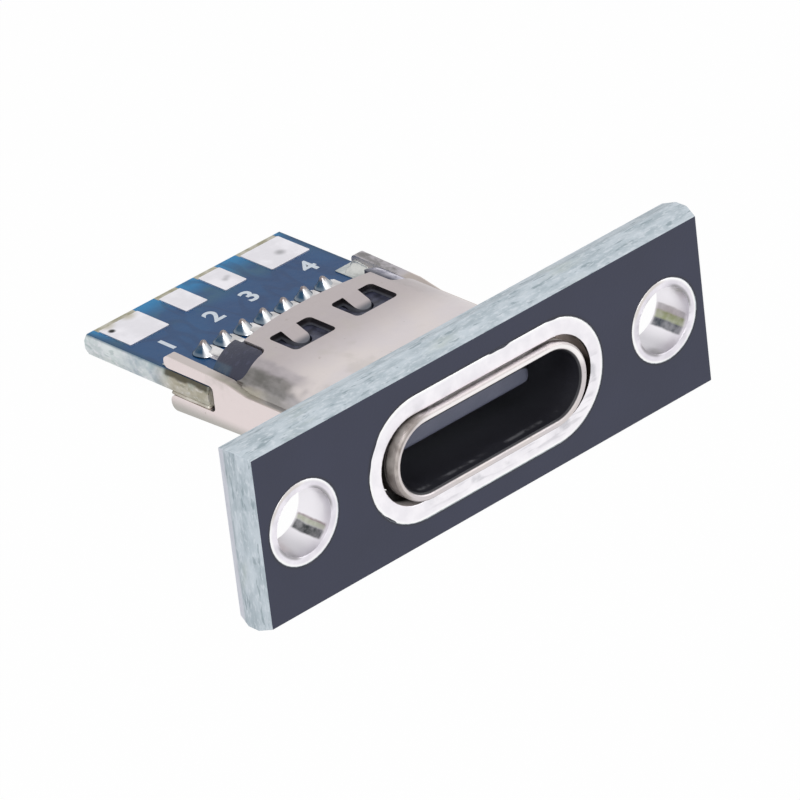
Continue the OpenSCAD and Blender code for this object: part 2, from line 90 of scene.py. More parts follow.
PLATE_LOW, PLATE_HIGH = span("front_plate")
SHELL_LOW, SHELL_HIGH = span("shell")
BOARD_LOW, BOARD_HIGH = span("solder_board")
BARREL_LOW, BARREL_HIGH = span("screw_barrel_right")
FILLET_LOW, FILLET_HIGH = span("prong_solder")
RING_HIGH = span("slot_plating")[1]
PADS = [span(f"wire_pad_{i}") for i in range(1, 5)]
TAIL_ENDS = [span(f"contact_top_{i}")[1].y for i in range(1, 8)]
PEAK_TOP = span("solder_top")[1].z
TONGUE_FRONT = span("insulator")[0].y
BOARD_TOP = BOARD_HIGH.z
LAND_TOP = PADS[0][1].z
PAD_REAR = PADS[0][1].y
HOLE_X = (BARREL_LOW.x + BARREL_HIGH.x) / 2
LAND_R = (BARREL_HIGH.x - BARREL_LOW.x) / 2
HOLE_R = 1.2
RING_R = RING_HIGH.z
RING_CORE = RING_HIGH.x - RING_R

# Shell: half the mouth's height, thickness of the sheet, how far the arms stand out and how thick they are, then the
# tube's outer radius, its side, half its flat width, the arms' inner side, and the radius of the slot round it
MOUTH_R = 2.56 / 2
SHELL_T = 0.3
ARM_PROUD = 0.13
ARM_T = 0.4
SLOT_GAP = 0.08
SHELL_OUTER_R = MOUTH_R + SHELL_T
TUBE_SIDE = SHELL_HIGH.x - ARM_PROUD
SHELL_CORE = TUBE_SIDE - SHELL_OUTER_R
ARM_IN = SHELL_HIGH.x - ARM_T
SLOT_R = SHELL_OUTER_R + SLOT_GAP

# Places along Y: end of the mouth, the shell's windows and the rear edge of its tube
MOUTH_END = 6.0
WINDOWS = 6.4, 8.2
TUBE_END = 8.75

# Painted zones along Y: on the shell, on the solder board's edge and on its mask
DARKER_TOP_SHEET = 4.3, 7.0
DULL_LEDGE = 4.4, 8.6
CLEAN_EDGE = 10.6, 12.0
BLUISH_EDGE = 11.3, 13.0
SLATE_MASK = 11.4, 14.2
GREEN_MASK = 12.9, 13.7


def linear(red, green, blue):
    """A colour given as 0 to 255, as the shaders take it"""
    out = []
    for value in (red, green, blue):
        part = value / 255
        out.append(part / 12.92 if part <= 0.04045 else ((part + 0.055) / 1.055) ** 2.4)
    return (*out, 1.0)


def feed(tree, socket, value):
    """Gives a socket its number or colour, or links another node's output to it"""
    if isinstance(value, bpy.types.NodeSocket):
        tree.links.new(value, socket)
    else:
        socket.default_value = value


def new_math(tree, operation, a, b=0.0):
    node = tree.nodes.new("ShaderNodeMath")
    node.operation = operation
    feed(tree, node.inputs[0], a)
    feed(tree, node.inputs[1], b)
    return node.outputs[0]


class Graph:
    """One material's node tree, with short calls for the nodes that it uses"""

    def __init__(self, name, metallic=0.0, roughness=0.5):
        self.material = bpy.data.materials.new(name)
        self.material.use_nodes = True
        self.tree = self.material.node_tree
        self.shader = self.tree.nodes["Principled BSDF"]
        self.set("Metallic", metallic)
        self.set("Roughness", roughness)
        place = self.tree.nodes.new("ShaderNodeTexCoord")
        scale = self.tree.nodes.new("ShaderNodeVectorMath")
        scale.operation = "SCALE"
        self.feed(scale.inputs[0], place.outputs["Object"])
        self.feed(scale.inputs["Scale"], 1 / MM)
        self.place = scale.outputs[0]
        self.xyz = self.split(self.place)
        geometry = self.tree.nodes.new("ShaderNodeNewGeometry")
        self.facing = self.split(geometry.outputs["True Normal"])
        self.rounded = self.split(geometry.outputs["Normal"])

    def feed(self, socket, value):
        feed(self.tree, socket, value)

    def set(self, name, value):
        self.feed(self.shader.inputs[name], value)

    def split(self, vector):
        node = self.tree.nodes.new("ShaderNodeSeparateXYZ")
        self.feed(node.inputs[0], vector)
        return node.outputs

    def math(self, operation, a, b=0.0):
        return new_math(self.tree, operation, a, b)

    def plus(self, a, b):
        return self.math("ADD", a, b)

    def minus(self, a, b):
        return self.math("SUBTRACT", a, b)

    def share(self, value, part):
        return self.math("MULTIPLY", value, part)

    def size(self, value):
        return self.math("ABSOLUTE", value)

    def both(self, *values):
        """1 where all the values are 1"""
        return reduce(self.share, values)

    def either(self, *values):
        """1 where any of the values is 1"""
        return reduce(lambda a, b: self.math("MAXIMUM", a, b), values)

    def length(self, a, b):
        """Length of the vector (a, b)"""
        return self.math("SQRT", self.plus(self.share(a, a), self.share(b, b)))

    def angle(self, across, up):
        """Turn of the vector (across, up) in radians, 0 to the right and growing upwards"""
        return self.math("ARCTAN2", up, across)

    def step(self, value, low, high):
        """0 below low, 1 above high and a smooth rise between; a low above high turns it round"""
        node = self.tree.nodes.new("ShaderNodeMapRange")
        node.interpolation_type = "SMOOTHSTEP"
        turned = low > high
        self.feed(node.inputs["Value"], value)
        self.feed(node.inputs["From Min"], min(low, high))
        self.feed(node.inputs["From Max"], max(low, high))
        self.feed(node.inputs["To Min"], 1.0 if turned else 0.0)
        self.feed(node.inputs["To Max"], 0.0 if turned else 1.0)
        return node.outputs["Result"]

    def between(self, value, low, high, soft):
        """1 between low and high, with soft ends"""
        return self.both(self.step(value, low - soft, low + soft), self.step(value, high + soft, high - soft))

    def scaled(self, value, low, high):
        """A 0 to 1 value spread from low to high"""
        return self.plus(self.share(value, high - low), low)

    def mix(self, factor, a, b):
        node = self.tree.nodes.new("ShaderNodeMix")
        node.data_type = "RGBA"
        self.feed(node.inputs["Factor"], factor)
        self.feed(node.inputs["A"], a)
        self.feed(node.inputs["B"], b)
        return node.outputs["Result"]

    def paint(self, tone, zone, colour, strength=1.0):
        """The tone with a colour laid over it where zone is 1"""
        return self.mix(self.share(zone, strength), tone, colour)

    def noise(self, per_mm, detail=3.0, stretch=(1, 1, 1), shift=0.0, roughness=0.5):
        place = self.tree.nodes.new("ShaderNodeMapping")
        self.feed(place.inputs["Vector"], self.place)
        self.feed(place.inputs["Scale"], stretch)
        self.feed(place.inputs["Location"], (shift, shift, shift))
        node = self.tree.nodes.new("ShaderNodeTexNoise")
        self.feed(node.inputs["Vector"], place.outputs[0])
        self.feed(node.inputs["Scale"], per_mm)
        self.feed(node.inputs["Detail"], detail)
        self.feed(node.inputs["Roughness"], roughness)
        return node.outputs["Fac"]

    def patches(self, low, high, *noise, **more):
        """Patches where a noise is above high, which fade out down to low"""
        return self.step(self.noise(*noise, **more), low, high)

    def bump(self, height, depth, below=None):
        """Tilts the surface by a height of depth millimetres, on top of the bump below"""
        node = self.tree.nodes.new("ShaderNodeBump")
        self.feed(node.inputs["Strength"], 1.0)
        self.feed(node.inputs["Distance"], depth * MM)
        self.feed(node.inputs["Height"], height)
        if below is not None:
            self.feed(node.inputs["Normal"], below)
        return node.outputs["Normal"]

    def flat(self, axis):
        """1 on the faces that are square to an axis"""
        return self.step(self.size(self.facing[axis]), 0.7, 0.8)

    def spot(self, x, y, radius, soft):
        """1 inside a round spot on a face that is seen from above"""
        away = self.length(self.minus(self.xyz[0], x), self.minus(self.xyz[1], y))
        return self.step(away, radius + soft, radius - soft)

    def from_middle(self, core, shift=0.0):
        """Distance from a line of half length core along X, at the mouth's axis or at shift to each side of it"""
        reach = self.size(self.minus(self.size(self.xyz[0]), shift))
        return self.length(self.math("MAXIMUM", self.minus(reach, core), 0.0), self.xyz[2])


# Laminate: four tints of a cut edge, which are plain, dark, pale and deep
PLATE_TINTS = linear(206, 216, 224), linear(176, 189, 197), linear(222, 229, 236), linear(128, 146, 154)
CLEAN_TINTS = linear(228, 234, 235), linear(204, 213, 215), linear(238, 238, 243), linear(176, 189, 189)
BEIGE_TINTS = linear(202, 197, 184), linear(172, 166, 146), linear(218, 215, 210), linear(144, 140, 118)


def laminate(graph, tints, run, dash):
    """Cut edge of glass-fibre laminate: mottled, with short darker dashes along the cut"""
    plain, dark, pale, deep = tints
    colour = graph.mix(graph.patches(0.34, 0.64, 1.7, 5, run, roughness=0.6), dark, plain)
    colour = graph.paint(colour, graph.patches(0.48, 0.7, 8.0, 3, run, 5), pale, 0.7)
    colour = graph.paint(colour, graph.patches(0.56, 0.72, 0.7, 3, run, 27), linear(182, 190, 170), 0.3)
    return graph.paint(colour, graph.patches(0.6, 0.68, 2.6, 3, dash, 9), deep, 0.6)


# Front plate: the rear strip of its ends that was snapped after scoring, and the width of the painted shade in a thin
# ring round each land
SNAPPED = 0.35
SHADE_RING_WIDTH = 0.07


def plate_edge(graph):
    """Edge of the front plate: laminate along each side, with the pale snapped strip on the ends"""
    on_ends = graph.step(graph.size(graph.facing[0]), 0.5, 0.6)
    edge = graph.mix(
        on_ends,
        laminate(graph, PLATE_TINTS, (0.5, 1.4, 1.0), (0.5, 2.4, 1.5)),
        laminate(graph, PLATE_TINTS, (1.0, 1.4, 0.5), (1.5, 2.4, 0.5)),
    )
    y = graph.xyz[1]
    score = PLATE_HIGH.y - SNAPPED
    snapped = graph.both(on_ends, graph.step(y, score - 0.07, score + 0.07))
    edge = graph.paint(edge, snapped, linear(222, 222, 232), 0.7)
    return graph.paint(edge, graph.between(y, score - 0.1, score - 0.05, 0.03), linear(140, 152, 160), 0.3)


def plate_mask(graph):
    """Faces of the front plate: nearly black, with a little dust and painted shade in a thin ring round each land"""
    mask = graph.mix(graph.noise(0.35, 2), linear(30, 35, 58), linear(40, 45, 71))
    mask = graph.paint(mask, graph.patches(0.76, 0.84, 5, 2, shift=3), linear(110, 116, 128), 0.2)
    # Painted shade: a thin dark ring on the mask round each land
    shade_ring = graph.either(
        graph.step(graph.from_middle(RING_CORE), RING_R + SHADE_RING_WIDTH + 0.05, RING_R + SHADE_RING_WIDTH - 0.05),
        graph.step(graph.from_middle(0, HOLE_X), LAND_R + SHADE_RING_WIDTH + 0.05, LAND_R + SHADE_RING_WIDTH - 0.05),
    )
    return graph.paint(mask, shade_ring, linear(18, 18, 26), 0.6)


def black_board():
    """Front plate: black mask on both faces, bare laminate on its edges"""
    graph = Graph("black_board")
    masked = graph.flat(1)
    graph.set("Base Color", graph.mix(masked, plate_edge(graph), plate_mask(graph)))
    graph.set("Roughness", graph.scaled(masked, 0.75, 0.42))
    grain = graph.share(graph.noise(9, 3), graph.scaled(masked, 0.0, 0.12))
    weave = graph.share(graph.noise(3.2, 4, (0.8, 1.8, 0.8)), graph.scaled(masked, 1.0, 0.0))
    graph.set("Normal", graph.bump(graph.plus(grain, weave), 0.03))
    return graph.material


def board_edge(graph):
    """Edge of the solder board: beige between the prongs with their painted shadow along its top, clean behind them
    """
    _, y, z = graph.xyz
    runs = (1.2, 0.6, 0.9), (1.6, 0.5, 1.6)
    bluish = graph.both(graph.between(y, *BLUISH_EDGE, 0.5), graph.patches(0.35, 0.6, 1.1, 3, shift=33))
    clean = graph.paint(laminate(graph, CLEAN_TINTS, *runs), bluish, linear(138, 157, 174), 0.8)
    edge = graph.mix(graph.step(y, *CLEAN_EDGE), laminate(graph, BEIGE_TINTS, *runs), clean)
    edge = graph.paint(edge, graph.patches(0.52, 0.68, 0.9, 3, shift=21), linear(184, 206, 204), 0.45)
    top_line = graph.both(graph.step(z, BOARD_TOP - 0.1, BOARD_TOP), graph.step(y, 10.6, 11.4))
    edge = graph.paint(edge, top_line, linear(58, 96, 122), 0.75)
    # Painted shadow of the upper prongs along the top of the edge, from the board's front to the prong tips
    uneven_z = graph.plus(z, graph.share(graph.noise(1.6, 3, shift=13), 0.3))
    prong_shadow = graph.both(graph.step(uneven_z, 0.27, 0.4), graph.between(y, BOARD_LOW.y, SHELL_HIGH.y + 0.08, 0.12))
    return graph.paint(edge, prong_shadow, linear(72, 68, 52), 0.9)


def board_mask(graph):
    """Mask of the solder board: slate on the left, greener and brighter to the rear, with fine tracks under it"""
    x, y, _ = graph.xyz
    across = graph.size(x)
    cloud = graph.noise(0.8, 3)
    mask = graph.mix(cloud, linear(15, 65, 111), linear(26, 81, 129))
    slate = graph.both(
        graph.patches(0.42, 0.6, 0.5, 2, shift=31), graph.between(y, *SLATE_MASK, 0.5), graph.step(x, -4.2, -3.0)
    )
    mask = graph.paint(mask, slate, linear(28, 61, 107), 0.5)
    green = graph.both(graph.patches(0.4, 0.6, 0.9, 2, shift=71), graph.step(y, *GREEN_MASK))
    mask = graph.paint(mask, green, linear(48, 96, 116), 0.55)
    rear = graph.step(graph.plus(y, graph.share(cloud, 0.8)), BOARD_HIGH.y - 1.0, BOARD_HIGH.y + 0.4)
    mask = graph.paint(mask, rear, linear(20, 124, 178))
    side = graph.step(across, BOARD_HIGH.x - 0.34, BOARD_HIGH.x - 0.1)
    mask = graph.paint(mask, side, linear(12, 62, 96), 0.7)
    tracks = graph.between(graph.noise(0.9, 1, (1.0, 0.35, 1.0), 17), 0.47, 0.53, 0.015)
    mask = graph.paint(mask, tracks, linear(20, 50, 92), 0.35)
    strips = [graph.between(across, low.x, high.x, 0.02) for low, high in PADS[2:]]
    bare = graph.both(graph.either(*strips), graph.step(y, PAD_REAR - 0.03, PAD_REAR + 0.01))
    return graph.mix(bare, mask, graph.mix(
        graph.patches(0.35, 0.65, 2.4, 3), linear(158, 154, 128), linear(196, 192, 178)
    ))


def blue_board():
    """Solder board: blue mask on both faces, laminate on its edges and behind the pads"""
    graph = Graph("blue_board")
    graph.set("Specular IOR Level", 0.25)
    masked = graph.flat(2)
    graph.set("Base Color", graph.mix(masked, board_edge(graph), board_mask(graph)))
    graph.set("Roughness", graph.scaled(masked, 0.75, 0.33))
    graph.set("Normal", graph.bump(graph.share(graph.noise(4, 4), graph.scaled(masked, 1.0, 0.2)), 0.03))
    return graph.material


# Bands in a screw hole that the photograph shows as reflections: from and to in degrees up from the side, where
# BAND_TURN turns them all, then colour and strength
BAND_TURN = 3.4
LEFT_BANDS = [
    (-34, -30, linear(104, 72, 74), 0.8),
    (-41, -33, linear(168, 172, 152), 0.95),
    (-57, -41, linear(60, 64, 66), 1.0),
]
RIGHT_BANDS = [
    (-25, -13, linear(180, 177, 180), 0.9),
    (-39, -24, linear(146, 154, 112), 0.95),
    (-52, -38, linear(68, 74, 82), 1.0),
]

# Darker arcs on the inner lip of a hole's land: middle and half width in degrees
HOLE_ARCS = [(35, 44), (-135, 36)]


def hole_wall(graph, turn, bands):
    """Wall of a screw hole: bright, painted dimmer at the bottom as shade, with the dark bands of painted reflection
    """
    wall = graph.mix(graph.step(turn, -0.85, -1.5), linear(242, 239, 244), linear(208, 206, 211))
    patchy = graph.scaled(graph.patches(0.3, 0.7, 3.0, 4, shift=43), 0.72, 1.0)
    sway = graph.plus(turn, graph.share(graph.noise(1.6, 3, shift=47), 0.12))
    inside = graph.between(graph.xyz[1], 0.15, 1.52, 0.08)
    # Painted reflections: dark bands laid on the wall by angle
    for low, high, colour, strength in bands:
        band = graph.between(sway, math.radians(low + BAND_TURN), math.radians(high + BAND_TURN), math.radians(2.2))
        wall = graph.paint(wall, graph.both(band, inside, patchy), colour, strength)
    return wall


def slot_wall(graph):
    """Wall of the slot: painted dark as shade, pale at its low left end in front, and paler further in at its high
    right end
    """
    x, y, z = graph.xyz
    # The tinned wall is painted dark as shade in the narrow slot, and keeps its pale tin at the low left end in front
    near_edge = graph.both(graph.step(z, -0.4, -0.9), graph.step(x, -2.8, -3.6), graph.step(y, 0.6, 0.4))
    wall = graph.paint(linear(58, 50, 48), near_edge, linear(250, 246, 244))
    uneven_y = graph.plus(y, graph.share(graph.noise(1.8, 3, shift=67), 0.3))
    deep_in = graph.both(graph.step(x, 2.9, 3.6), graph.step(z, 0.0, 0.6), graph.step(uneven_y, 0.2, 0.32))
    return graph.paint(wall, deep_in, linear(206, 190, 182), 0.9)


def tinned_land(name, core, shift, outer, inner, tones, wall_roughness, rough_edge, bands=()):
    """Tinned land round an opening: painted highlight along the outer rim, greyer and mottled inside, and the
    opening's wall
    """
    graph = Graph(name, 1.0)
    x, y, z = graph.xyz
    away = graph.from_middle(core, abs(shift))
    turn = graph.angle(graph.minus(x, shift), z)
    flat = graph.flat(1)
    depth = graph.plus(graph.minus(outer, away), graph.share(graph.noise(0.9, 2, shift=3), 0.12))
    low_side = graph.step(graph.minus(graph.share(x, 0.3), z), 0.4, 2.0)
    tone = graph.mix(graph.patches(0.36, 0.7, 1.5, 4), *tones)
    smudge = graph.both(
        graph.patches(0.52, 0.74, 1.1, 4, shift=8), graph.step(depth, 0.25, 0.5), graph.scaled(low_side, 0.2, 0.75)
    )
    tone = graph.paint(tone, smudge, linear(178, 178, 184))
    # Painted highlight: white along the land's outer rim
    tone = graph.paint(tone, graph.step(depth, 0.2, 0.08), linear(255, 255, 255))
    streak = graph.both(
        graph.patches(0.48, 0.62, 2.2, 4, (0.35, 1, 2.4), 63),
        graph.step(depth, 0.2, 0.35), graph.step(low_side, 0.3, 0.8),
    )
    tone = graph.paint(tone, streak, linear(192, 190, 196), 0.45)
    if bands:
        fringe = graph.both(graph.step(depth, 0.24, 0.14), graph.between(turn, 1.5, 2.7, 0.2))
        tone = graph.paint(tone, fringe, linear(206, 197, 190), 0.7)
        lip = graph.both(graph.step(away, inner + 0.14, inner + 0.04), flat)
        for angle, half in HOLE_ARCS:
            off = graph.size(graph.minus(turn, math.radians(angle)))
            arc = graph.both(lip, graph.step(off, math.radians(half), math.radians(half / 2)))
            tone = graph.paint(tone, arc, linear(130, 128, 130), 0.75)
        wall = hole_wall(graph, turn, bands)
    else:
        wall = slot_wall(graph)
    # Small bites of the mask into the land's rim, on the front face
    uneven = graph.share(graph.minus(graph.noise(0.8, 2, shift=51), 0.56), rough_edge)
    bitten = graph.both(
        graph.step(graph.minus(graph.minus(outer, away), uneven), 0.012, -0.012),
        graph.step(away, inner + 0.25, inner + 0.3), graph.step(y, 0.1, 0.05),
    )
    tone = graph.mix(graph.either(flat, bitten), wall, tone)
    graph.set("Base Color", graph.paint(tone, bitten, linear(40, 43, 62)))
    graph.set("Roughness", graph.scaled(flat, wall_roughness, 0.28))
    graph.set("Metallic", graph.scaled(bitten, 1.0, 0.0))
    graph.set("Normal", graph.bump(graph.noise(14, 3), 0.003, graph.bump(graph.noise(1.3, 2, shift=7), 0.02)))
    return graph.material


def ring_tin():
    """The wide land round the slot"""
    tones = linear(241, 238, 243), linear(251, 248, 252)
    return tinned_land("tinned_ring", RING_CORE, 0, RING_R, SLOT_R, tones, wall_roughness=0.6, rough_edge=0.4)


def barrel_tin(name, x, bands):
    """The land round the screw hole at x"""
    tones = linear(224, 220, 228), linear(243, 239, 246)
    return tinned_land(name, 0, x, LAND_R, HOLE_R, tones, wall_roughness=0.34, rough_edge=0.15, bands=bands)


def metal(name, colour, shade, roughness, cloud, grain=0.0, depth=0.0, spots=()):
    """Metal with soft clouds of shade, an uneven polish, a fine grain and round dark spots"""
    graph = Graph(name, 1.0)
    tone = graph.mix(graph.patches(0.38, 0.66, cloud, 4), shade, colour)
    for *place, spot_colour, strength in spots:
        tone = graph.paint(tone, graph.spot(*place), spot_colour, strength)
    graph.set("Base Color", tone)
    graph.set("Roughness", graph.scaled(graph.noise(cloud * 2.5, 3, shift=4), roughness * 0.7, roughness * 1.3))
    below = graph.bump(graph.noise(cloud * 1.5, 2, shift=7), depth)
    graph.set("Normal", graph.bump(graph.noise(14, 3), grain, below))
    return graph.material


# Painted dark reflections on the shell's left shoulder, in zones: from and to in degrees up from the side, from and
# to along Y, then a darker and a paler tint, and strength
SHOULDER_REFLECTIONS = [
    (54, 72, 4.9, 7.7, (linear(156, 150, 154), linear(180, 173, 176)), 0.75),
    (12, 33, 5.2, 8.6, (linear(146, 144, 130), linear(174, 168, 156)), 0.8),
    (18, 42, 4.2, 6.2, (linear(146, 143, 144), linear(182, 178, 181)), 0.75),
    (33, 56, 5.2, 8.2, (linear(92, 92, 88), linear(138, 135, 134)), 0.9),
    (36, 44, 4.4, 4.9, (linear(92, 92, 92), linear(134, 130, 134)), 0.7),
]


def sheet_tone(graph):
    """The shell's plain sheet: duller on top to the rear, painted pale as light on the arms' outer faces and darker
    low on them, and painted shade on the windows' edges
    """
    x, y, z = graph.xyz
    upward = graph.facing[2]
    tone = graph.mix(graph.patches(0.35, 0.65, 0.55, 3), linear(210, 203, 205), linear(215, 207, 205))
    # The top is darker towards the rear
    darker_top = graph.both(graph.step(y, *DARKER_TOP_SHEET), graph.step(upward, 0.3, 0.7))
    tone = graph.paint(tone, darker_top, linear(174, 165, 166), 0.8)
    # Painted light: the arms' outer faces lighter, as lit from the left, and darker low down
    lit_arm_face = graph.mix(graph.step(z, -0.5, -1.0), linear(229, 217, 216), linear(180, 177, 172))
    tone = graph.paint(tone, graph.step(graph.size(x), SHELL_HIGH.x - 0.06, SHELL_HIGH.x - 0.02), lit_arm_face)
    tone = graph.paint(tone, graph.patches(0.58, 0.74, 0.9, 4, shift=11), linear(184, 178, 172), 0.35)
    tone = graph.paint(tone, graph.patches(0.7, 0.78, 3.4, 2, shift=41), linear(150, 140, 128), 0.35)
    # Painted shade on the cut edges of the windows
    window_edge_shade = graph.both(
        graph.step(graph.size(x), 2.62, 2.58), graph.between(y, *WINDOWS, 0.1),
        graph.step(graph.size(upward), 0.6, 0.5), graph.step(z, 1.2, 1.25),
    )
    return graph.paint(tone, window_edge_shade, linear(52, 48, 50), 0.85)


def arm_tone(graph, tone, on_arm):
    """The arms: brown painted shade on the rounded edges where they stand out, dull ledge beside the tube, and soot
    on the right one's top
    """
    x, y, _ = graph.xyz
    upward = graph.facing[2]
    over_arm = graph.step(graph.size(x), ARM_IN - 0.02, ARM_IN + 0.02)
    # Painted shade in brown along the arms' rounded edges where they stand out
    fringe = graph.both(
        on_arm, graph.between(upward, 0.3, 0.92, 0.05), graph.step(graph.size(graph.facing[0]), 0.3, 0.45)
    )
    tone = graph.paint(tone, fringe, linear(138, 118, 110), 0.6)
    ledge = graph.both(over_arm, graph.between(upward, 0.3, 1.1, 0.05), graph.between(y, *DULL_LEDGE, 0.2))
    tone = graph.paint(tone, ledge, linear(168, 158, 146), 0.5)
    top = graph.both(over_arm, graph.step(upward, 0.85, 0.95), graph.step(y, TUBE_END - 0.45, TUBE_END + 0.05))
    tone = graph.paint(tone, top, linear(202, 193, 188), 0.6)
    flakes = graph.patches(0.38, 0.62, 2.0, 5, (1, 0.6, 1), 39, 0.65)
    soot = graph.mix(flakes, linear(116, 115, 116), linear(178, 174, 180))
    return graph.paint(tone, graph.both(top, graph.step(x, 0.0, 1.0)), soot, 0.9)


def shoulder_tone(graph, tone, outside):
    """The tube's left shoulder, with its painted dark reflections"""
    x, y, z = graph.xyz
    speckle = graph.patches(0.32, 0.68, 2.4, 4, (1, 0.45, 1), 29)
    sway = graph.minus(graph.noise(1.1, 2, shift=37), 0.5)
    turn = graph.plus(graph.angle(graph.minus(graph.size(x), SHELL_CORE), z), graph.share(sway, 0.35))
    reach = graph.plus(y, graph.share(sway, 2.0))
    left = graph.step(x, 0.5, -0.5)
    for low, high, near, far, pair, strength in SHOULDER_REFLECTIONS:
        zone = graph.both(
            graph.between(turn, math.radians(low), math.radians(high), math.radians(4)),
            graph.between(reach, near, far, 0.5), outside, left,
        )
        tone = graph.paint(tone, zone, graph.mix(speckle, *pair), strength)
    return tone


def rim_tone(graph, tone, away, rim, grey_left_rim):
    """The rim round the mouth: greyer and mottled at the left end, a dim crest, a painted white highlight on the lip
    and a dark line of painted shade below
    """
    x, y, z = graph.xyz
    grey = graph.mix(graph.patches(0.35, 0.68, 2.2, 4, shift=19), linear(140, 130, 124), linear(192, 184, 179))
    tone = graph.paint(tone, grey_left_rim, grey, 0.9)
    crest = graph.both(
        rim, graph.between(away, SHELL_OUTER_R - 0.12, SHELL_OUTER_R - 0.04, 0.02), graph.step(z, 0.2, 0.9)
    )
    tone = graph.paint(tone, crest, linear(140, 132, 128), 0.3)
    # Painted highlight: white on the inner part of the rim's end face, high up at the left end
    lip = graph.both(
        graph.step(away, MOUTH_R + 0.26, MOUTH_R + 0.2), graph.step(z, 0.1, 0.6),
        graph.step(y, -0.08, -0.13), graph.step(x, -3.6, -2.6),
    )
    tone = graph.paint(tone, lip, linear(252, 248, 247), 0.9)
    # Painted shade: a dark line along the rim's lower outer edge
    low_shade_line = graph.both(
        rim, graph.step(away, SHELL_OUTER_R - 0.06, SHELL_OUTER_R - 0.03), graph.step(z, 0.2, -0.3)
    )
    return graph.paint(tone, low_shade_line, linear(138, 128, 126), 0.6)


def mouth_tone(graph, tone, gap, inside):
    """The outside of the tube in the slot's gap, painted near black as shade and pale near its top, and the inside of
    the mouth painted dark as shade, with a faint seam low in front
    """
    _, y, z = graph.xyz
    # Painted shade in the slot's gap and inside the mouth
    tone = graph.mix(gap, tone, graph.mix(graph.step(z, 1.1, 1.5), linear(34, 27, 25), linear(250, 245, 243)))
    tone = graph.mix(inside, tone, graph.mix(graph.step(y, 0.4, 3.0), linear(40, 40, 46), linear(96, 98, 107)))
    seam = graph.both(
        inside, graph.step(z, -1.2, -1.25), graph.between(y, 0.08, 0.22, 0.07),
        graph.patches(0.42, 0.62, 1.3, 4, shift=61, roughness=0.7),
    )
    return graph.paint(tone, seam, linear(120, 120, 124), 0.75)


def shell_steel():
    """Plated sheet, bright outside; the inside of the mouth takes no light and is painted dark as shade"""
    graph = Graph("shell_steel", 1.0)
    x, y, z = graph.xyz
    away = graph.from_middle(SHELL_CORE)
    on_arm = graph.step(graph.size(x), TUBE_SIDE + 0.02, TUBE_SIDE + 0.06)
    outside = graph.both(graph.step(away, SHELL_OUTER_R - 0.08, SHELL_OUTER_R - 0.04), graph.step(on_arm, 0.5, 0.4))
    # The rim and the gap behind it lie a little further in at the left end
    inward = graph.minus(y, graph.share(graph.step(x, -2.4, -3.6), 0.2))
    rim = graph.both(graph.step(inward, 0.02, -0.02), graph.step(away, MOUTH_R + 0.17, MOUTH_R + 0.21))
    # The rim's low left end, painted greyer and less metallic
    grey_left_rim = graph.both(rim, graph.step(x, -2.4, -3.4), graph.step(z, -1.35, -0.9))
    gap = graph.both(
        graph.between(inward, 0.08, PLATE_HIGH.y + 0.1, 0.05),
        graph.step(away, SHELL_OUTER_R - 0.12, SHELL_OUTER_R - 0.06),
    )
    lead_in = graph.both(
        graph.step(away, MOUTH_R + 0.14, MOUTH_R + 0.04), graph.step(y, SHELL_LOW.y + 0.09, SHELL_LOW.y + 0.13)
    )
    inside = graph.either(lead_in, graph.step(away, MOUTH_R + 0.075, MOUTH_R + 0.045))
    tone = arm_tone(graph, sheet_tone(graph), on_arm)
    tone = shoulder_tone(graph, tone, outside)
    tone = rim_tone(graph, tone, away, rim, grey_left_rim)
    graph.set("Base Color", mouth_tone(graph, tone, gap, inside))
    dull = graph.either(gap, inside, graph.share(grey_left_rim, 0.7))
    graph.set("Metallic", graph.scaled(dull, 1.0, 0.0))
    polish = graph.scaled(graph.noise(3, 3, shift=2), 0.3, 0.46)
    graph.set("Roughness", graph.plus(polish, graph.share(gap, 0.4)))
    graph.set("Normal", graph.bump(graph.noise(16, 3), 0.004, graph.bump(graph.noise(1.1, 2, shift=6), 0.03)))
    return graph.material


def contact_metal():
    """Gold-plated in the mouth, tinned on the tails"""
    graph = Graph("contact_metal", 1.0, 0.28)
    cloud = graph.patches(0.38, 0.66, 2.0, 4)
    gold = graph.mix(cloud, linear(196, 168, 104), linear(222, 196, 130))
    tin = graph.mix(cloud, linear(186, 184, 184), linear(222, 220, 220))
    graph.set("Base Color", graph.mix(graph.step(graph.xyz[1], TUBE_END - 0.15, TUBE_END + 0.15), gold, tin))
    graph.set("Normal", graph.bump(graph.noise(9, 3), 0.006))
    return graph.material


def flowed_solder(name, colour, shade, roughness):
    """Cloudy solder that has run and set"""
    graph = Graph(name, 1.0, roughness)
    graph.set("Base Color", graph.mix(graph.patches(0.36, 0.66, 1.6, 3), shade, colour))
    graph.set("Normal", graph.bump(graph.noise(2.56, 2, shift=7), 0.06))
    return graph.material


# Way that the peaks' lit flank faces, level and turned from +X
LIT_SIDE = math.radians(-40)


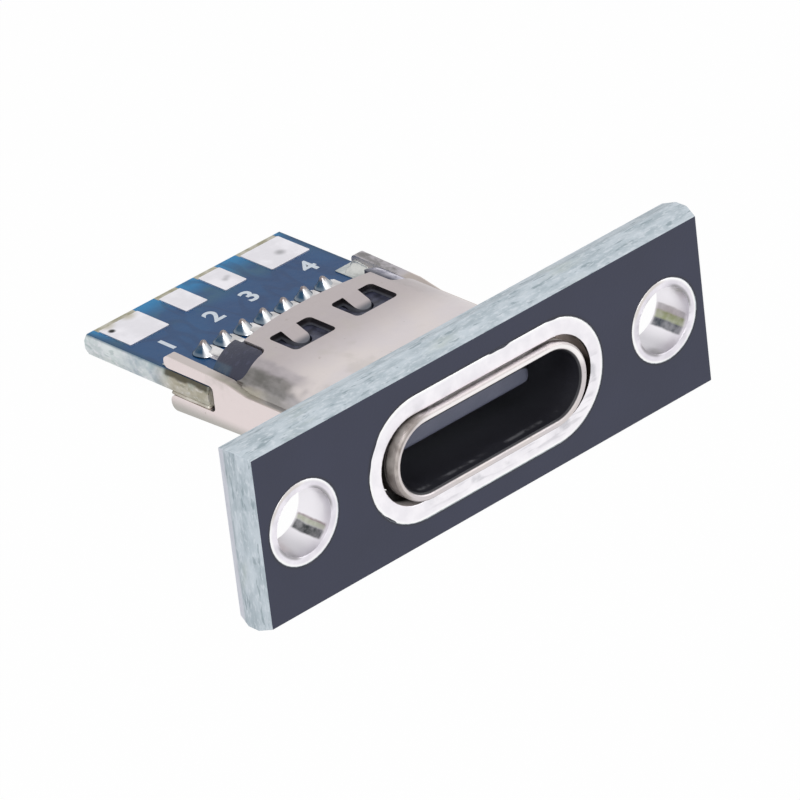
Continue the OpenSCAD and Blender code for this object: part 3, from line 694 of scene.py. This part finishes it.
def peak_solder():
    """Solder peaks as the photograph has them, with light painted by the way each face turns: a bright strip of
    painted highlight, a dim blue-grey left flank painted as the board's reflection, and a brown tip
    """
    graph = Graph("solder_peaks", 1.0)
    nx, ny, _ = graph.rounded
    height = graph.size(graph.xyz[2])
    across = graph.plus(graph.share(nx, math.cos(LIT_SIDE)), graph.share(ny, math.sin(LIT_SIDE)))
    across = graph.math("DIVIDE", across, graph.math("MAXIMUM", graph.length(nx, ny), 0.05))
    tone = graph.mix(graph.step(across, -0.42, 0.06), linear(44, 72, 98), linear(250, 250, 251))
    # Painted shade: grey on the flank turned to the right
    tone = graph.paint(tone, graph.step(across, 0.35, 0.8), linear(140, 148, 158), 0.8)
    # Painted highlight: a thin pale line at the left foot
    foot_highlight = graph.both(graph.step(height, LAND_TOP + 0.1, LAND_TOP + 0.03), graph.step(across, 0.0, -0.5))
    tone = graph.paint(tone, foot_highlight, linear(196, 206, 210), 0.2)
    tone = graph.paint(tone, graph.patches(0.4, 0.7, 3.0, 3), linear(150, 156, 160), 0.25)
    tone = graph.paint(tone, graph.step(height, PEAK_TOP - 0.2, PEAK_TOP - 0.06), linear(138, 124, 120), 0.8)
    graph.set("Base Color", tone)
    graph.set("Roughness", graph.scaled(graph.noise(4, 2, shift=5), 0.2, 0.3))
    graph.set("Normal", graph.bump(graph.noise(3.0, 2, shift=7), 0.006))
    return graph.material


# Painted light on the front of the tongue, near black as shade outside its rounded outline: half its straight width,
# its middle's height, half its height, and its round ends
FRONT_CORE = 2.66
FRONT_Z = -0.02
FRONT_HALF_H = 0.3
FRONT_ROUND = 0.5


def moulding():
    """Black moulded plastic: painted grey in the mouth as light, with the faint blue bloom of the photograph behind
    it
    """
    graph = Graph("black_insulator")
    x, y, z = graph.xyz
    bloom = graph.noise(1.4, 3)
    speckle = graph.patches(0.36, 0.64, 2.6, 4, shift=23)
    # Painted light: the plastic in the mouth lighter than behind it
    lit_in_mouth = graph.mix(bloom, linear(86, 89, 102), linear(98, 101, 114))
    behind = graph.mix(bloom, linear(32, 35, 56), linear(44, 47, 68))
    tone = graph.mix(graph.step(y, MOUTH_END - 0.1, MOUTH_END + 0.1), lit_in_mouth, behind)
    flecks = graph.both(graph.patches(0.56, 0.68, 3.4, 3, shift=57), graph.step(y, 7.0, 7.4))
    tone = graph.paint(tone, flecks, linear(66, 68, 92), 0.5)
    # Painted highlights: pale speckles on the plastic seen through the windows
    in_windows = graph.both(
        graph.step(graph.size(x), 2.8, 2.6), graph.between(y, WINDOWS[0] - 0.2, WINDOWS[1] + 0.1, 0.1)
    )
    tone = graph.paint(tone, in_windows, graph.mix(speckle, linear(34, 35, 48), linear(76, 78, 98)), 0.8)
    left = graph.both(graph.step(x, -3.86, -3.98), graph.step(y, 8.15, 8.4))
    tone = graph.paint(tone, left, graph.mix(speckle, linear(28, 60, 88), linear(58, 74, 92)))
    # Painted light: the insulator's right shoulder, lilac to near white
    right = graph.both(graph.step(x, 3.05, 3.6), graph.step(y, 7.2, 7.4))
    tone = graph.paint(tone, right, graph.mix(speckle, linear(128, 126, 150), linear(222, 219, 233)))
    # Painted light on the tongue's front, left near black as shade outside a rounded outline
    corner_x = graph.math("MAXIMUM", graph.minus(graph.size(x), FRONT_CORE), 0.0)
    corner_z = graph.share(graph.minus(z, FRONT_Z), FRONT_ROUND / FRONT_HALF_H)
    pale = graph.step(graph.length(corner_x, corner_z), FRONT_ROUND + 0.03, FRONT_ROUND - 0.05)
    lit_front = graph.mix(bloom, linear(100, 104, 124), linear(120, 124, 144))
    lit_front = graph.mix(pale, linear(10, 11, 14), lit_front)
    on_front = graph.both(
        graph.step(graph.size(graph.facing[2]), 0.8, 0.6), graph.step(y, TONGUE_FRONT + 0.5, TONGUE_FRONT + 0.15)
    )
    graph.set("Base Color", graph.mix(on_front, tone, lit_front))
    graph.set("Roughness", graph.scaled(graph.noise(5, 3, shift=3), 0.36, 0.54))
    graph.set("Normal", graph.bump(graph.noise(12, 3), 0.012))
    return graph.material


def print_ink():
    """Pale blue-white print"""
    graph = Graph("print_ink", roughness=0.6)
    graph.set("Base Color", graph.mix(graph.noise(5, 3), linear(196, 208, 222), linear(228, 234, 240)))
    graph.set("Normal", graph.bump(graph.noise(16, 2), 0.01))
    return graph.material


# Round spots on the wire pads: place, radius, softness, colour and strength
PAD_MIDDLES = [(low + high) / 2 for low, high in PADS]
PAD_1, _, PAD_3, PAD_4 = PAD_MIDDLES
BLACK = linear(30, 32, 34)
GREY = linear(120, 120, 124)
STAIN = linear(176, 168, 140)
PAD_SPOTS = [
    (PAD_1.x - 0.62, PAD_REAR - 0.38, 0.12, 0.06, BLACK, 1.0),
    (PAD_1.x - 0.5, PAD_REAR + 0.1, 0.26, 0.22, STAIN, 0.7),
    (PAD_1.x + 0.45, PAD_REAR + 0.02, 0.24, 0.2, STAIN, 0.7),
    (PAD_3.x + 0.02, PAD_3.y - 0.12, 0.1, 0.1, GREY, 0.45),
    (PAD_3.x + 0.2, PAD_3.y - 0.02, 0.1, 0.1, GREY, 0.35),
    (PAD_4.x + 0.13, PAD_4.y - 0.12, 0.16, 0.14, GREY, 0.6),
]

# Plain metals: name, colour, shade, roughness, clouds per millimetre, then depths of the grain and of the clouds
TIN = metal("tinned_plating", linear(238, 236, 240), linear(214, 213, 218), 0.26, 0.9, 0.003, 0.03)
DULL_TIN = metal("dull_tin", linear(200, 203, 202), linear(168, 174, 174), 0.4, 1.6, 0.003, 0.03)
PAD_TIN = metal("tinned_pads", linear(234, 232, 237), linear(223, 221, 226), 0.42, 1.2, 0.003, 0.02, PAD_SPOTS)
PLATE_SOLDER = metal("solder", linear(226, 226, 228), linear(186, 186, 190), 0.16, 2.2, depth=0.05)
LATCH_STEEL = metal("latch_steel", linear(196, 196, 200), linear(170, 170, 174), 0.3, 2.0, grain=0.004)
GOLD = contact_metal()

# CAD nodes with their materials and the radius of their rounded edges
OUTFITS = [
    ("front_plate", black_board(), 0.03),
    ("screw_barrel_left", barrel_tin("tinned_barrel_left", -HOLE_X, LEFT_BANDS), 0.03),
    ("screw_barrel_right", barrel_tin("tinned_barrel_right", HOLE_X, RIGHT_BANDS), 0.03),
    ("slot_plating", ring_tin(), 0.03),
    ("shell", shell_steel(), 0.05),
    ("insulator", moulding(), 0.03),
    ("latch_plate", LATCH_STEEL, 0),
    ("solder_board", blue_board(), 0.03),
    *((f"contact_{row}_{i}", GOLD, 0.03) for row in ("top", "bottom") for i in range(1, 8)),
    *((f"wire_pad_{i}", PAD_TIN, 0.02) for i in range(1, 5)),
    ("tail_lands", TIN, 0.02),
    ("shield_lands", DULL_TIN, 0.02),
    ("plate_solder", PLATE_SOLDER, 0),
]

# Edges that turn by more than this many degrees are rounded
SHARP = 32
WELD_GAP = 0.0005


def dress(name, material, radius):
    """Gives a CAD node its material, and rounds its sharp edges"""
    node = nodes_of_cad[name]
    if not node.material_slots:
        node.data.materials.append(material)
    for place in node.material_slots:
        place.material = material
    if radius:
        weld = node.modifiers.new("weld", "WELD")
        weld.merge_threshold = WELD_GAP * MM
        rounding = node.modifiers.new("bevel", "BEVEL")
        rounding.width = radius * MM
        rounding.segments = 2
        rounding.limit_method = "ANGLE"
        rounding.angle_limit = math.radians(SHARP)


# Sculpted solder: its materials, and how deep it sinks into what carries it
PEAKS = peak_solder()
PATCH = flowed_solder("solder_patch", linear(206, 207, 204), linear(168, 172, 171), 0.34)
SEAT = flowed_solder("solder_seat", linear(206, 201, 192), linear(176, 170, 158), 0.45)
SINK = 0.02


def new_piece(name, build, material):
    mesh = bpy.data.meshes.new(name)
    bmesh.ops.recalc_face_normals(build, faces=build.faces)
    build.to_mesh(mesh)
    build.free()
    for face in mesh.polygons:
        face.use_smooth = True
    mesh.materials.append(material)
    piece = bpy.data.objects.new(name, mesh)
    bpy.context.collection.objects.link(piece)
    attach(piece, "root")
    return piece


def loft(build, rings):
    """Closed skin through rings of points in millimetres"""
    skin = [[build.verts.new(Vector(p) * MM) for p in ring] for ring in rings]
    for lower, upper in zip(skin, skin[1:]):
        for k in range(len(lower)):
            near = (k + 1) % len(lower)
            build.faces.new((lower[k], lower[near], upper[near], upper[k]))
    build.faces.new(list(reversed(skin[0])))
    build.faces.new(skin[-1])


# Peaks: radii of the foot to the sides, rear and front, radius of the tip and the share of the height that it rounds,
# and how hollow the flanks are. Each one leans by a little in X and Y, and has its share of the full height
PEAK_RINGS = 16
PEAK_POINTS = 32
PEAK_FOOT = 0.41
PEAK_REAR = 0.36
PEAK_FRONT = 0.54
PEAK_TIP = 0.09
PEAK_ROUND = 0.2
PEAK_HOLLOW = 1.45
PEAK_SHIFT = -0.16
PEAK_PAST_TAIL = 0.04
TAIL_PITCH = 0.95
PEAK_LEANS = [
    (0.07, 0.02, 1.0), (0.02, 0.0, 0.95), (-0.02, 0.03, 1.0), (0.0, 0.04, 0.97),
    (-0.03, 0.0, 1.0), (0.01, 0.05, 0.94), (-0.07, 0.02, 0.98),
]


def peak_rings(x, y, lean, side):
    """Rings of one peak: a wide foot, hollow flanks, and a small rounded top"""
    lean_x, lean_y, full = lean
    height = (PEAK_TOP - LAND_TOP - 0.01) * full
    rings = []
    for k in range(PEAK_RINGS + 1):
        share = k / PEAK_RINGS
        hollow = (1 - share) ** PEAK_HOLLOW
        over = max(0.0, (share - 1 + PEAK_ROUND) / PEAK_ROUND)
        tip = PEAK_TIP * math.sqrt(max(0.02, 1 - over ** 2))
        z = LAND_TOP - SINK + (height + SINK) * share
        ring = []
        for j in range(PEAK_POINTS):
            turn = 2 * math.pi * j / PEAK_POINTS
            c, s = math.cos(turn), math.sin(turn)
            reach = PEAK_REAR if s > 0 else PEAK_FRONT
            wide = tip + (PEAK_FOOT - tip) * hollow
            long = tip + (reach - tip) * hollow
            ring.append((x + lean_x * share + wide * c, y + lean_y * share + long * s, side * z))
        rings.append(ring)
    return rings


def solder_peaks(name, node, side):
    build = bmesh.new()
    middle = (len(TAIL_ENDS) - 1) / 2
    for i, (tail_end, lean) in enumerate(zip(TAIL_ENDS, PEAK_LEANS)):
        loft(build, peak_rings((i - middle) * TAIL_PITCH + PEAK_SHIFT, tail_end + PEAK_PAST_TAIL, lean, side))
    piece = new_piece(name, build, PEAKS)
    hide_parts(node)


# Fillets: how far they reach in from the prong, and how unevenly
PATCH_STEPS = 18
PATCH_POINTS = 9
PATCH_REACH = 0.5
PATCH_WAVE = 0.08


def patch_rings(side, level):
    """Rings of the hollow fillet between a prong's inner side and its land, round at both ends"""
    length = FILLET_HIGH.y - FILLET_LOW.y
    back = ARM_IN + ARM_T / 2
    rings = []
    for k in range(PATCH_STEPS + 1):
        share = k / PATCH_STEPS
        swell = math.sqrt(max(0.03, 1 - (2 * share - 1) ** 2)) * (1 + PATCH_WAVE * math.sin(9 * share + side))
        y = FILLET_LOW.y + length * share
        rise = (FILLET_HIGH.z - LAND_TOP - 0.01) * min(1.0, swell)
        reach = PATCH_REACH * swell
        profile = [(back, LAND_TOP - SINK), (back, LAND_TOP + 0.04), (ARM_IN + 0.01, LAND_TOP + 0.04)]
        for j in range(PATCH_POINTS + 1):
            turn = j / PATCH_POINTS * math.pi / 2
            profile.append((ARM_IN - reach * (1 - math.cos(turn)), LAND_TOP + rise * (1 - math.sin(turn))))
        profile.append((ARM_IN - reach, LAND_TOP - SINK))
        rings.append([(side * x, y, level * z) for x, z in profile])
    return rings


def prong_patches():
    build = bmesh.new()
    for side in (-1, 1):
        for level in (-1, 1):
            loft(build, patch_rings(side, level))
    piece = new_piece("prong_patches", build, PATCH)
    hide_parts("prong_solder")


# Solder under the board: height of the lower prong's upper edge, and how far the solder stays in from the ends
SEAT_STEPS = 20
PRONG_LOW = 0.5
SEAT_FRONT = 0.08
SEAT_REAR = 0.32


def seat_rings(side):
    """Rings of the solder that has run between the board's underside and a lower prong"""
    start = BOARD_LOW.y + SEAT_FRONT
    end = FILLET_HIGH.y - SEAT_REAR
    inner = ARM_IN + 0.02
    rings = []
    for k in range(SEAT_STEPS + 1):
        share = k / SEAT_STEPS
        outer = BOARD_HIGH.x - 0.05 - 0.01 * math.sin(7 * share)
        profile = [
            (inner, BOARD_TOP - 0.01), (inner, PRONG_LOW + 0.01), (outer, PRONG_LOW + 0.01),
            (outer + 0.03, (BOARD_TOP + PRONG_LOW) / 2), (outer, BOARD_TOP - 0.01),
        ]
        rings.append([(side * x, start + (end - start) * share, -z) for x, z in profile])
    return rings


def seat_solder():
    build = bmesh.new()
    for side in (-1, 1):
        loft(build, seat_rings(side))
    new_piece("seat_solder", build, SEAT)


# Numerals printed beside the pads: height, boldness, thickness, lift above the board, and middles
INK = print_ink()
NUMERAL_H = 1.12
NUMERAL_BOLD = 0.028
NUMERAL_T = 0.004
NUMERAL_LIFT = 0.006
NUMERAL_PLACES = [(-3.38, 12.25), (-1.05, 12.45), (0.68, 12.5), (3.36, 12.4)]


def numeral(i):
    curve = bpy.data.curves.new(f"numeral_{i}", "FONT")
    curve.body = str(i)
    curve.size = NUMERAL_H * MM
    curve.align_x = "CENTER"
    curve.align_y = "CENTER"
    curve.offset = NUMERAL_BOLD * MM
    curve.extrude = NUMERAL_T * MM
    piece = bpy.data.objects.new(f"numeral_{i}", curve)
    bpy.context.collection.objects.link(piece)
    piece.location = Vector((*NUMERAL_PLACES[i - 1], BOARD_TOP + NUMERAL_LIFT)) * MM
    piece.data.materials.append(INK)
    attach(piece, "root")


# Stage: floor, lights and surroundings
FLOOR_DROP = 45
FLOOR_SIZE = 4000
FLOOR_GLOW = 0.975
WORLD_LEVEL = 0.55

# Lights: name, place, width and power
LIGHTS = [("key", (-180, -120, 260), 160, 0.42), ("fill", (220, -180, 120), 200, 0.12)]


def white_for_the_eye(tree, plain, share):
    """Mixes plain with a white glow that only camera, glossy and transmission rays see"""
    path = tree.nodes.new("ShaderNodeLightPath").outputs
    seen = new_math(tree, "MAXIMUM", path["Is Camera Ray"], path["Is Glossy Ray"])
    seen = new_math(tree, "MAXIMUM", seen, path["Is Transmission Ray"])
    mixed = tree.nodes.new("ShaderNodeMixShader")
    feed(tree, mixed.inputs[0], new_math(tree, "MULTIPLY", seen, share))
    feed(tree, mixed.inputs[1], plain)
    feed(tree, mixed.inputs[2], tree.nodes.new("ShaderNodeEmission").outputs[0])
    return mixed.outputs[0]


def make_floor():
    mesh = bpy.data.meshes.new("floor")
    build = bmesh.new()
    bmesh.ops.create_grid(build, x_segments=1, y_segments=1, size=FLOOR_SIZE / 2 * MM)
    build.to_mesh(mesh)
    build.free()
    floor = bpy.data.objects.new("floor", mesh)
    bpy.context.collection.objects.link(floor)
    floor.location = Vector((0, 0, PLATE_LOW.z - FLOOR_DROP)) * MM
    material = bpy.data.materials.new("pale_floor")
    material.use_nodes = True
    tree = material.node_tree
    shader = tree.nodes["Principled BSDF"]
    shader.inputs["Base Color"].default_value = linear(250, 250, 251)
    shader.inputs["Roughness"].default_value = 0.9
    glowing = white_for_the_eye(tree, shader.outputs[0], FLOOR_GLOW)
    tree.links.new(glowing, tree.nodes["Material Output"].inputs["Surface"])
    mesh.materials.append(material)


def make_world():
    world = bpy.data.worlds.new("studio")
    bpy.context.scene.world = world
    world.use_nodes = True
    tree = world.node_tree
    plain = tree.nodes["Background"]
    plain.inputs["Color"].default_value = (1, 1, 1, 1)
    plain.inputs["Strength"].default_value = WORLD_LEVEL
    tree.links.new(white_for_the_eye(tree, plain.outputs[0], 1.0), tree.nodes["World Output"].inputs["Surface"])


def area_light(name, place, width, power):
    data = bpy.data.lights.new(name, "AREA")
    data.shape = "DISK"
    data.size = width * MM
    data.energy = power
    lamp = bpy.data.objects.new(name, data)
    bpy.context.collection.objects.link(lamp)
    lamp.location = Vector(place) * MM
    aim = (CAMERA_TARGET - lamp.location).normalized()
    lamp.rotation_euler = aim.to_track_quat("-Z", "Y").to_euler()


make_camera()
make_world()
make_floor()
for light in LIGHTS:
    area_light(*light)
for outfit in OUTFITS:
    dress(*outfit)
solder_peaks("solder_peaks_top", "solder_top", 1)
solder_peaks("solder_peaks_bottom", "solder_bottom", -1)
prong_patches()
seat_solder()
for number in range(1, 5):
    numeral(number)

bpy.context.scene.view_settings.view_transform = "Standard"
bpy.context.view_layer.update()
